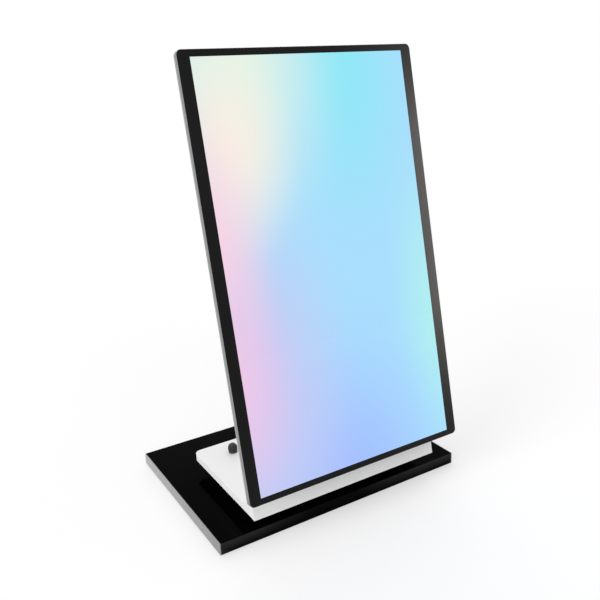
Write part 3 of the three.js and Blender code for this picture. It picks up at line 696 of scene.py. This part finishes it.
def turned(name, profile, sides=48, axis="Z"):
    """A turned piece about the axis. Each pair is a radius and a distance along the axis.
    A radius of 0 at both ends makes it solid; otherwise the last pair repeats the first."""
    deselect()
    solid = profile[0][0] == 0
    rings = [pair for pair in profile if pair[0] > 0]
    bpy.ops.mesh.primitive_circle_add(vertices=sides, radius=rings[0][0], location=(0, 0, rings[0][1]),
                                      fill_type="NGON" if solid else "NOTHING")
    obj = settle(bpy.context.object)
    obj.name = name
    bpy.ops.object.mode_set(mode="EDIT")
    bpy.ops.mesh.select_mode(type="EDGE")
    bpy.ops.mesh.select_all(action="SELECT")
    for (radius, place), (next_radius, next_place) in zip(rings, rings[1:]):
        bpy.ops.mesh.extrude_edges_move(TRANSFORM_OT_translate={"value": (0, 0, next_place - place)})
        ratio = next_radius / radius
        bpy.ops.transform.resize(value=(ratio, ratio, 1), center_override=(0, 0, next_place))
    if solid:
        bpy.ops.mesh.edge_face_add()
    bpy.ops.mesh.select_all(action="SELECT")
    bpy.ops.mesh.remove_doubles(threshold=1e-7)
    bpy.ops.mesh.normals_make_consistent(inside=False)
    close_edit()
    if axis == "X":
        obj.rotation_euler.y = math.pi / 2
    if axis == "Y":
        obj.rotation_euler.x = -math.pi / 2
    return settle(obj)


def shift(obj, place):
    obj.location = place
    return settle(obj)


# ---- The panel's leaning frame ------------------------------------------------------------
# Local x runs along the panel's bottom edge, y from its face to its back, z up along it.
GLASS_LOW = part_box("mirror_glass")[0]
PANEL_ORIGIN = Vector((0, GLASS_LOW.y, GLASS_LOW.z + GLASS_T * MM * math.sin(LEAN)))
LEAN_FRAME = Matrix.Translation(PANEL_ORIGIN) @ Matrix.Rotation(-LEAN, 4, "X")


def leaning_box(node):
    """(lowest corner, highest corner) of a CAD node in the panel's leaning frame."""
    back = LEAN_FRAME.inverted()
    points = [back @ v.co for v in frame["nodes"][node].data.vertices]
    low = Vector([min(p[i] for p in points) for i in range(3)])
    high = Vector([max(p[i] for p in points) for i in range(3)])
    return low, high


def lean(obj):
    obj.matrix_world = LEAN_FRAME
    return settle(obj)


GLASS_BOX = leaning_box("mirror_glass")
PANEL_SIZE = GLASS_BOX[1] - GLASS_BOX[0]


# ---- Finishing a piece ----------------------------------------------------------------------
def finish(obj, material, body, slot, *nodes):
    """Gives the piece its shading, material and body, and hides the CAD nodes that it stands for."""
    apply_modifier(obj, "WEIGHTED_NORMAL", keep_sharp=True)
    if material:
        obj.data.materials.clear()
        obj.data.materials.append(material)
    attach(obj, body)
    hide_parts(*nodes)
    return obj


def body_of(node):
    for body, nodes in frame["record"]["behaviour"]["bodies"].items():
        if node in nodes:
            return body
    raise ValueError(node)


# ---- Base -------------------------------------------------------------------------------------
def make_slab(acrylic, edge, band):
    slab = block("slab_core", *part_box("base_slab"))
    soften(slab, SLAB_EDGE * MM, 3)
    for material in (acrylic, edge):
        slab.data.materials.append(material)
    for face in slab.data.polygons:
        face.material_index = 1 if face.normal.y < -0.9 else 0
    finish(slab, None, "base", "slab_black", "base_slab")
    for side in ("left", "right"):
        node = f"edge_band_{side}"
        low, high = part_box(node)
        strip = block(f"end_band_{side}", low, high)
        outer = low.x if side == "left" else high.x
        round_edges(strip, lambda e: abs(middle(e).x - outer) < 1e-6, SLAB_EDGE * MM, 3)
        smooth(strip)
        finish(strip, band, "base", "band_grey", node)


def make_grip_sheet(rubber):
    low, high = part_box("antislip_pad")
    sheet = block("grip_sheet", low, high)
    round_edges(sheet, lambda e: edge_runs(e, 2), GRIP_CORNER * MM, 8)
    soften(sheet, 0.25 * MM, 2)
    finish(sheet, rubber, "base", "pad_rubber", "antislip_pad")


# ---- Turntable --------------------------------------------------------------------------------
def axis_of(node):
    low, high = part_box(node)
    return Vector(((low.x + high.x) / 2, (low.y + high.y) / 2, 0))


def make_turntable(steel, nylon):
    low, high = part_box("turntable_base")
    radius = (high.x - low.x) / 2
    lower = turned("turntable_lower", [(PIVOT_BORE * MM, low.z), (radius, low.z), (radius, high.z),
                                       (PIVOT_BORE * MM, high.z), (PIVOT_BORE * MM, low.z)], 96)
    soften(lower, 0.4 * MM)
    finish(shift(lower, axis_of("turntable_base")), steel, "base", "steel_zinc", "turntable_base")
    low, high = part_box("turntable_top")
    hub, flange, bore = HUB_R * MM, low.z + FLANGE_T * MM, PIVOT_BORE * MM
    pocket, floor = HUB_POCKET_R * MM, low.z + HUB_FLOOR * MM
    upper = turned("turntable_upper", [(bore, low.z), (radius, low.z), (radius, flange), (hub, flange),
                                       (hub, high.z), (pocket, high.z), (pocket, floor), (bore, floor),
                                       (bore, low.z)], 96)
    soften(upper, 0.4 * MM)
    finish(shift(upper, axis_of("turntable_top")), steel, "stand", "steel_zinc", "turntable_top")
    low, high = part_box("friction_ring")
    inner, outer = GLIDE_BORE_R * MM, GLIDE_R * MM
    profile = [(inner, low.z), (outer, low.z), (outer, high.z), (inner, high.z), (inner, low.z)]
    ring = turned("glide_ring", profile, 72)
    soften(ring, 0.2 * MM, 2)
    finish(shift(ring, axis_of("friction_ring")), nylon, "base", "nylon_natural", "friction_ring")


# ---- Stand --------------------------------------------------------------------------------------
def make_stand(acrylic):
    """Foot and upright as one piece, with a soft inside bend and a sharp front corner."""
    low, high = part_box("stand_plate")
    thick = STAND_T * MM
    foot_top = low.z + thick
    up = Vector((0, math.sin(LEAN), math.cos(LEAN)))
    back = Vector((0, math.cos(LEAN), -math.sin(LEAN)))
    corner = Vector((0, low.y, low.z))
    stand = block("bent_stand", low, (high.x, high.y, foot_top))
    open_edit(stand, "VERT")
    pick(stand, "VERT", lambda v: v.co.y < low.y + 1e-6 and v.co.z > low.z + 1e-6)
    bpy.ops.transform.translate(value=(0, thick * math.tan(LEAN), 0))
    bpy.ops.mesh.select_all(action="SELECT")
    bpy.ops.mesh.bisect(plane_co=corner + back * thick, plane_no=back)
    seam = low.y + (thick + thick * math.sin(LEAN)) / math.cos(LEAN)
    bpy.ops.mesh.select_mode(type="FACE")
    pick(stand, "FACE", lambda f: f.normal.z > 0.9 and f.calc_center_median().y < seam)
    reach = (high.z - foot_top) / math.cos(LEAN)
    bpy.ops.mesh.extrude_region_move(TRANSFORM_OT_translate={"value": up * reach})
    bpy.ops.mesh.select_mode(type="VERT")
    pick(stand, "VERT", lambda v: v.co.z > high.z - 1e-4 and v.co.y > (corner + up * reach).y + thick)
    bpy.ops.transform.translate(value=-up * thick * math.tan(LEAN))
    straight = low.z + UPRIGHT_STRAIGHT * MM
    shoulder = high.z - UPRIGHT_CORNER * MM
    for height in (straight, shoulder):
        bpy.ops.mesh.select_all(action="SELECT")
        bpy.ops.mesh.bisect(plane_co=(0, 0, height), plane_no=(0, 0, 1))
    pick(stand, "VERT", lambda v: v.co.z > shoulder - 1e-5)
    bpy.ops.transform.resize(value=(UPRIGHT_TOP_W * MM / (high.x - low.x), 1, 1), center_override=(0, 0, 0))
    close_edit()
    round_edges(stand, lambda e: not edge_runs(e, 0) and middle(e).z > high.z - thick
                and abs(e.verts[0].co.z - e.verts[1].co.z) < 2.5 * MM, UPRIGHT_TOP_R * MM, 10)
    inside = BEND_R * MM / math.tan((math.pi / 2 - LEAN) / 2)
    round_edges(stand, lambda e: edge_runs(e, 0) and abs(middle(e).z - foot_top) < 1e-5
                and low.y + thick < middle(e).y < low.y + 3 * thick, inside, 16)
    round_edges(stand, lambda e: edge_runs(e, 2) and middle(e).y > high.y - 1e-5, FOOT_CORNER * MM, 10)
    soften(stand, STAND_EDGE * MM, 4, 50)
    below, above = low.z - PAST * MM, foot_top + PAST * MM
    for i in range(1, 5):
        spot = axis_of(f"stand_screw_{i}")
        narrow, wide, rim = SINK_SHANK_R * MM, SINK_R * MM, foot_top - SINK_RIM * MM
        sink = turned("sink", [(0, below), (narrow, below), (narrow, rim - SINK_DEPTH * MM), (wide, rim),
                               (wide, above), (0, above)], 32)
        cut(stand, shift(sink, spot))
    hole = turned("hole", [(0, below), (INSERT_R * MM, below), (INSERT_R * MM, above), (0, above)], 32)
    cut(stand, shift(hole, axis_of("thread_insert")))
    smooth(stand)
    finish(stand, acrylic, "stand", "stand_white", "stand_plate")


# ---- Lock knob ------------------------------------------------------------------------------------
def make_knob(plastic):
    """Domed knob with flutes round its grip, standing on a plain collar."""
    low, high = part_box("lock_knob")
    radius = (high.x - low.x) / 2
    dome_z = high.z - radius
    grip_z = dome_z - KNOB_GRIP_H * MM
    collar_top = grip_z - KNOB_GROOVE_H * MM
    collar, groove = KNOB_COLLAR_R * MM, KNOB_GROOVE_R * MM
    profile = [(0, low.z), (collar, low.z), (collar, collar_top), (groove, collar_top), (groove, grip_z),
               (radius, grip_z), (radius, dome_z - KNOB_GRIP_H * MM / 2)]
    for i in range(KNOB_DOME_STEPS):
        angle = i / KNOB_DOME_STEPS * math.pi / 2
        profile.append((radius * math.cos(angle), dome_z + radius * math.sin(angle)))
    profile.append((0, high.z))
    knob = turned("grip_knob", profile, KNOB_SIDES)
    open_edit(knob, "VERT")
    flute = KNOB_SIDES // KNOB_FLUTES

    def in_flute(vertex):
        step = round(math.atan2(vertex.co.y, vertex.co.x) / (2 * math.pi) * KNOB_SIDES) % flute
        return step < 3 and grip_z - MM * 0.01 < vertex.co.z < dome_z + radius * KNOB_FLUTE_TOP
    pick(knob, "VERT", in_flute)
    bpy.ops.transform.resize(value=(KNOB_FLUTE_DEPTH, KNOB_FLUTE_DEPTH, 1), center_override=(0, 0, 0))
    close_edit()
    soften(knob, 0.15 * MM, 2, 30)
    finish(shift(knob, axis_of("lock_knob")), plastic, "lock", "knob_grey", "lock_knob")


# ---- Panel ------------------------------------------------------------------------------------------
def make_glass(border, mirror, edge):
    """One sheet of glass: silvered in the middle of its face, printed black around it."""
    low, high = GLASS_BOX
    glass = block("face_glass", low, high)
    round_edges(glass, lambda e: edge_runs(e, 1), PANEL_CORNER * MM, 12)
    soften(glass, 0.3 * MM, 2)
    left, right = low.x + BORDER_SIDE * MM, high.x - BORDER_SIDE * MM
    bottom, top = low.z + BORDER_BOTTOM * MM, high.z - BORDER_TOP * MM
    open_edit(glass, "FACE")
    for place, normal in (((left, 0, 0), (1, 0, 0)), ((right, 0, 0), (1, 0, 0)),
                          ((0, 0, bottom), (0, 0, 1)), ((0, 0, top), (0, 0, 1))):
        pick(glass, "FACE", lambda f: f.normal.y < -0.999)
        bpy.ops.mesh.bisect(plane_co=place, plane_no=normal)
    close_edit()
    for material in (border, mirror, edge):
        glass.data.materials.append(material)
    for face in glass.data.polygons:
        centre = face.center
        if face.normal.y < -0.999:
            inside = left < centre.x < right and bottom < centre.z < top
            face.material_index = 1 if inside else 0
        else:
            face.material_index = 2
    smooth(glass)
    finish(lean(glass), None, "panel", "mirror_glass", "mirror_glass")


def make_rim(anodised):
    low, high = leaning_box("panel_rim")
    rim = block("silver_rim", low, high)
    round_edges(rim, lambda e: edge_runs(e, 1), PANEL_CORNER * MM, 12)
    wall = Vector((RIM_W * MM, 0, RIM_W * MM))
    past = Vector((0, PAST * MM, 0))
    cut(rim, block("opening", low + wall - past, high - wall + past))
    soften(rim, 0.3 * MM, 2)
    finish(lean(rim), anodised, "panel", "rim_silver", "panel_rim")


def make_cover(plastic):
    low, high = leaning_box("rear_cover")
    cover = block("back_cover", low, high)
    round_edges(cover, lambda e: edge_runs(e, 1), COVER_CORNER * MM, 10)
    soften(cover, 0.4 * MM, 3)
    finish(lean(cover), plastic, "panel", "cover_black", "rear_cover")


def bore_about_x(obj, start, end, place):
    """Bores a hinge hole along X from start to end, at a place."""
    radius, first, last = HINGE_BORE * MM, start - PAST * MM, end + PAST * MM
    tool = turned("bore", [(0, first), (radius, first), (radius, last), (0, last)], 32, "X")
    cut(obj, shift(tool, place))


# ---- Hinges -----------------------------------------------------------------------------------------
def make_bracket(node, steel):
    """A plate with one ear that carries the hinge bolt."""
    low, high = leaning_box(node)
    on_stand = node.startswith("stand")
    side = 1 if high.x > 0 else -1
    plate_low, plate_high = low.copy(), high.copy()
    if on_stand:
        plate_low.y = high.y - BRACKET_T * MM
    else:
        plate_high.y = low.y + BRACKET_T * MM
    plate = block(node.replace("bracket", "hinge_leaf"), plate_low, plate_high)
    round_edges(plate, lambda e: edge_runs(e, 1), BRACKET_CORNER * MM, 5)
    ear_outer = side > 0 if on_stand else side < 0
    ear_x = (high.x - EAR_T * MM, high.x) if ear_outer else (low.x, low.x + EAR_T * MM)
    axis_z = (low.z + high.z) / 2
    axis_y = low.y + EAR_R * MM if on_stand else high.y - EAR_R * MM
    arm_y = (axis_y, plate_high.y - MM) if on_stand else (plate_low.y + MM, axis_y)
    ear = EAR_R * MM
    arm = block("arm", (ear_x[0], arm_y[0], axis_z - ear), (ear_x[1], arm_y[1], axis_z + ear))
    eye = turned("eye", [(0, ear_x[0]), (ear, ear_x[0]), (ear, ear_x[1]), (0, ear_x[1])], 48, "X")
    weld(arm, shift(eye, (0, axis_y, axis_z)))
    weld(plate, arm)
    bore_about_x(plate, *ear_x, (0, axis_y, axis_z))
    soften(plate, 0.35 * MM, 2)
    finish(lean(plate), steel, body_of(node), "steel_zinc", node)


def make_ring(node, name, material, slot, bore, dish=0.0):
    """A washer or spring disc about X; dish is how far its inside stands out."""
    low, high = leaning_box(node)
    radius = (high.z - low.z) / 2
    thick = high.x - low.x
    outward = 1 if high.x > 0 else -1
    start = low.x if outward > 0 else high.x
    lift = dish * MM * outward
    wall = (thick - abs(lift)) * outward
    ring = turned(name, [(bore * MM, start + lift), (radius, start), (radius, start + wall),
                         (bore * MM, start + lift + wall), (bore * MM, start + lift)], 40, "X")
    soften(ring, 0.12 * MM, 2)
    centre = Vector((0, (low.y + high.y) / 2, (low.z + high.z) / 2))
    finish(lean(shift(ring, centre)), material, body_of(node), slot, node)


def head_socket(obj, place, axis, radius, depth):
    """Sinks a six-sided driver socket into a screw's head."""
    profile = [(0, -depth), (radius, -depth), (radius, depth), (0, depth)]
    cut(obj, shift(turned("socket", profile, 6, axis), place))


def make_hinge_bolt(node, name, steel):
    low, high = leaning_box(node)
    side = 1 if high.x > 0 else -1
    head, end = (low.x, high.x) if side > 0 else (high.x, low.x)
    radius = (high.z - low.z) / 2
    shank = (HINGE_BORE - 0.1) * MM
    under = head + side * BOLT_HEAD_T * MM
    centre = Vector((0, (low.y + high.y) / 2, (low.z + high.z) / 2))
    profile = [(0, head), (radius, head), (radius, under), (shank, under), (shank, end), (0, end)]
    bolt = turned(name, profile, 40, "X")
    soften(bolt, 0.3 * MM, 2)
    head_socket(bolt, (head, 0, 0), "X", BOLT_SOCKET_R * MM, BOLT_SOCKET_DEPTH * MM)
    smooth(bolt)
    finish(lean(shift(bolt, centre)), steel, body_of(node), "steel_zinc", node)


def make_hinge_nut(node, name, steel):
    low, high = leaning_box(node)
    radius = (high.z - low.z) / 2
    centre = Vector((0, (low.y + high.y) / 2, (low.z + high.z) / 2))
    nut = turned(name, [(0, low.x), (radius, low.x), (radius, high.x), (0, high.x)], 6, "X")
    edge, wide = radius * 0.9, radius * 1.02
    first, last = low.x + NUT_CHAMFER * MM, high.x - NUT_CHAMFER * MM
    profile = [(0, low.x), (edge, low.x), (wide, first), (wide, last), (edge, high.x), (0, high.x)]
    shape = turned("chamfer", profile, 48, "X")
    apply_modifier(nut, "BOOLEAN", operation="INTERSECT", solver="EXACT", object=shape)
    bpy.data.objects.remove(shape, do_unlink=True)
    bore_about_x(nut, low.x, high.x, (0, 0, 0))
    smooth(nut, 25)
    finish(lean(shift(nut, centre)), steel, body_of(node), "steel_zinc", node)


def make_hinges(steel, nylon):
    for side in ("left", "right"):
        make_bracket(f"stand_bracket_{side}", steel)
        make_bracket(f"panel_bracket_{side}", steel)
        make_ring(f"hinge_washer_inner_{side}", f"glide_inner_{side}", nylon, "nylon_natural", HINGE_BORE)
        make_ring(f"hinge_washer_outer_{side}", f"glide_outer_{side}", nylon, "nylon_natural", HINGE_BORE)
        make_ring(f"hinge_disc_spring_{side}", f"spring_disc_{side}", steel, "steel_zinc", HINGE_BORE, DISH)
        make_hinge_bolt(f"hinge_bolt_{side}", f"shoulder_bolt_{side}", steel)
        make_hinge_nut(f"hinge_nut_{side}", f"lock_nut_{side}", steel)


# ---- Screws -----------------------------------------------------------------------------------------
def make_leaning_screw(node, name, steel, shank, head_back, head_thick):
    """Button-head screw through the panel's depth; head_back says whether its head faces the rear."""
    low, high = leaning_box(node)
    radius = (high.x - low.x) / 2
    length = high.y - low.y
    profile = [(0, 0), (shank, 0), (shank, length - head_thick), (radius, length - head_thick),
               (radius, length - head_thick * 0.55), (radius * 0.86, length - head_thick * 0.15),
               (radius * 0.66, length), (0, length)]
    screw = turned(name, profile, 32)
    soften(screw, 0.08 * MM, 2, 25)
    head_socket(screw, (0, 0, length), "Z", shank * 0.9, head_thick * 0.6)
    smooth(screw)
    screw.rotation_euler.x = -math.pi / 2 if head_back else math.pi / 2
    centre_x, centre_z = (low.x + high.x) / 2, (low.z + high.z) / 2
    screw.location = (centre_x, low.y if head_back else high.y, centre_z)
    settle(screw)
    finish(lean(screw), steel, body_of(node), "steel_zinc", node)


def make_flush_screw(node, name, steel):
    """Countersunk screw standing head up."""
    low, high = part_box(node)
    radius = (high.x - low.x) / 2
    shank = SCREW_SHANK * MM
    neck = high.z - SINK_DEPTH * MM
    profile = [(0, low.z), (shank * 0.7, low.z), (shank, low.z + 0.8 * MM), (shank, neck),
               (radius - 0.1 * MM, high.z - SINK_RIM * MM), (radius - 0.2 * MM, high.z), (0, high.z)]
    screw = turned(name, profile, 32)
    head_socket(screw, (0, 0, high.z), "Z", FLUSH_SOCKET_R * MM, FLUSH_SOCKET_DEPTH * MM)
    smooth(screw)
    finish(shift(screw, axis_of(node)), steel, body_of(node), "steel_zinc", node)


def make_screws(steel):
    for i in range(1, 5):
        for part, head_back in (("stand", False), ("panel", True)):
            make_leaning_screw(f"{part}_bracket_screw_{i}", f"{part}_leaf_screw_{i}", steel,
                               SCREW_SHANK * MM, head_back, BRACKET_HEAD_T * MM)
        make_flush_screw(f"stand_screw_{i}", f"foot_screw_{i}", steel)
        make_flush_screw(f"base_screw_{i}", f"slab_screw_{i}", steel)
    for i in range(1, 7):
        make_leaning_screw(f"cover_screw_{i}", f"back_screw_{i}", steel, SMALL_SHANK * MM,
                           True, COVER_HEAD_T * MM)


def finish_kept_nodes(materials):
    """The CAD pieces whose shape stays as it is get their finish."""
    for node, material in materials.items():
        data = frame["nodes"][node].data
        data.materials.clear()
        data.materials.append(material)


# ---- Studio ---------------------------------------------------------------------------------------------
FLOOR_GLOW = 0.475     # seen by the camera and in mirrors only, so that the floor reads as white
WORLD_FILL = 0.66
KEY_LIGHT = 1.8
FRONT_LIGHT = 0.6
BACK_LIGHT = 0.5


def seen_directly(tree):
    """1 for rays that show a surface to the eye, in glass or in metal, and 0 for light that is scattered."""
    path = add_node(tree, "ShaderNodeLightPath")
    either = arithmetic(tree, "MAXIMUM", path.outputs["Is Camera Ray"], path.outputs["Is Glossy Ray"])
    return arithmetic(tree, "MAXIMUM", either, path.outputs["Is Transmission Ray"])


def make_floor():
    deselect()
    bpy.ops.mesh.primitive_plane_add(size=12, location=(0, 0, 0))
    floor = bpy.context.object
    floor.name = "floor"
    material, tree, surface = new_material("pale floor", roughness=0.9, specular=0.0)
    mask = noise(tree, object_place(tree), 0.7, 2.0)
    colour = blend_colour(tree, mask, (0.5, 0.5, 0.5, 1), (0.52, 0.52, 0.52, 1))
    feed(tree, colour, surface.inputs["Base Color"])
    surface.inputs["Emission Color"].default_value = (1, 1, 1, 1)
    glow = arithmetic(tree, "MULTIPLY", seen_directly(tree), FLOOR_GLOW)
    feed(tree, glow, surface.inputs["Emission Strength"])
    floor.data.materials.append(material)


def make_world():
    world = bpy.data.worlds.new("studio")
    world.use_nodes = True
    tree = world.node_tree
    background = tree.nodes["Background"]
    background.inputs["Color"].default_value = (1, 1, 1, 1)
    strength = spread(tree, seen_directly(tree), 0.0, 1.0, WORLD_FILL, 1.0)
    feed(tree, strength, background.inputs["Strength"])
    bpy.context.scene.world = world


def add_sun(name, direction, strength, softness):
    data = bpy.data.lights.new(name, "SUN")
    data.energy = strength
    data.angle = math.radians(softness)
    lamp = bpy.data.objects.new(name, data)
    lamp.rotation_euler = Vector(direction).to_track_quat("Z", "Y").to_euler()
    lamp.visible_glossy = False
    bpy.context.scene.collection.objects.link(lamp)


def make_studio():
    make_floor()
    make_world()
    add_sun("key light", (-0.85, -0.15, 0.4), KEY_LIGHT, 40)
    add_sun("front light", (-0.3, -0.85, 0.3), FRONT_LIGHT, 60)
    add_sun("back light", (0.45, 0.7, 0.5), BACK_LIGHT, 60)
    bpy.context.scene.view_settings.view_transform = "Standard"


# ---- Assembly ---------------------------------------------------------------------------------------------
def main():
    add_camera()
    steel, nylon = zinc_steel(), natural_nylon()
    make_slab(black_acrylic(), edge_with_painted_sheen(), grey_band())
    make_grip_sheet(pad_rubber())
    make_turntable(steel, nylon)
    make_stand(white_acrylic())
    make_knob(knob_plastic())
    make_glass(border_print(), mirror_with_painted_reflection(), ground_edge())
    make_rim(anodised_rim())
    make_cover(textured_cover())
    make_hinges(steel, nylon)
    make_screws(steel)
    finish_kept_nodes({
        "carrier_board": board_composite(), "thread_insert": turned_brass(),
        "lock_stud": steel, "lock_tip": nylon, "pivot_bolt": steel, "pivot_washer": nylon,
        "pivot_disc_spring": steel, "pivot_nut": steel, "swivel_stop_pin": steel})
    make_studio()


main()
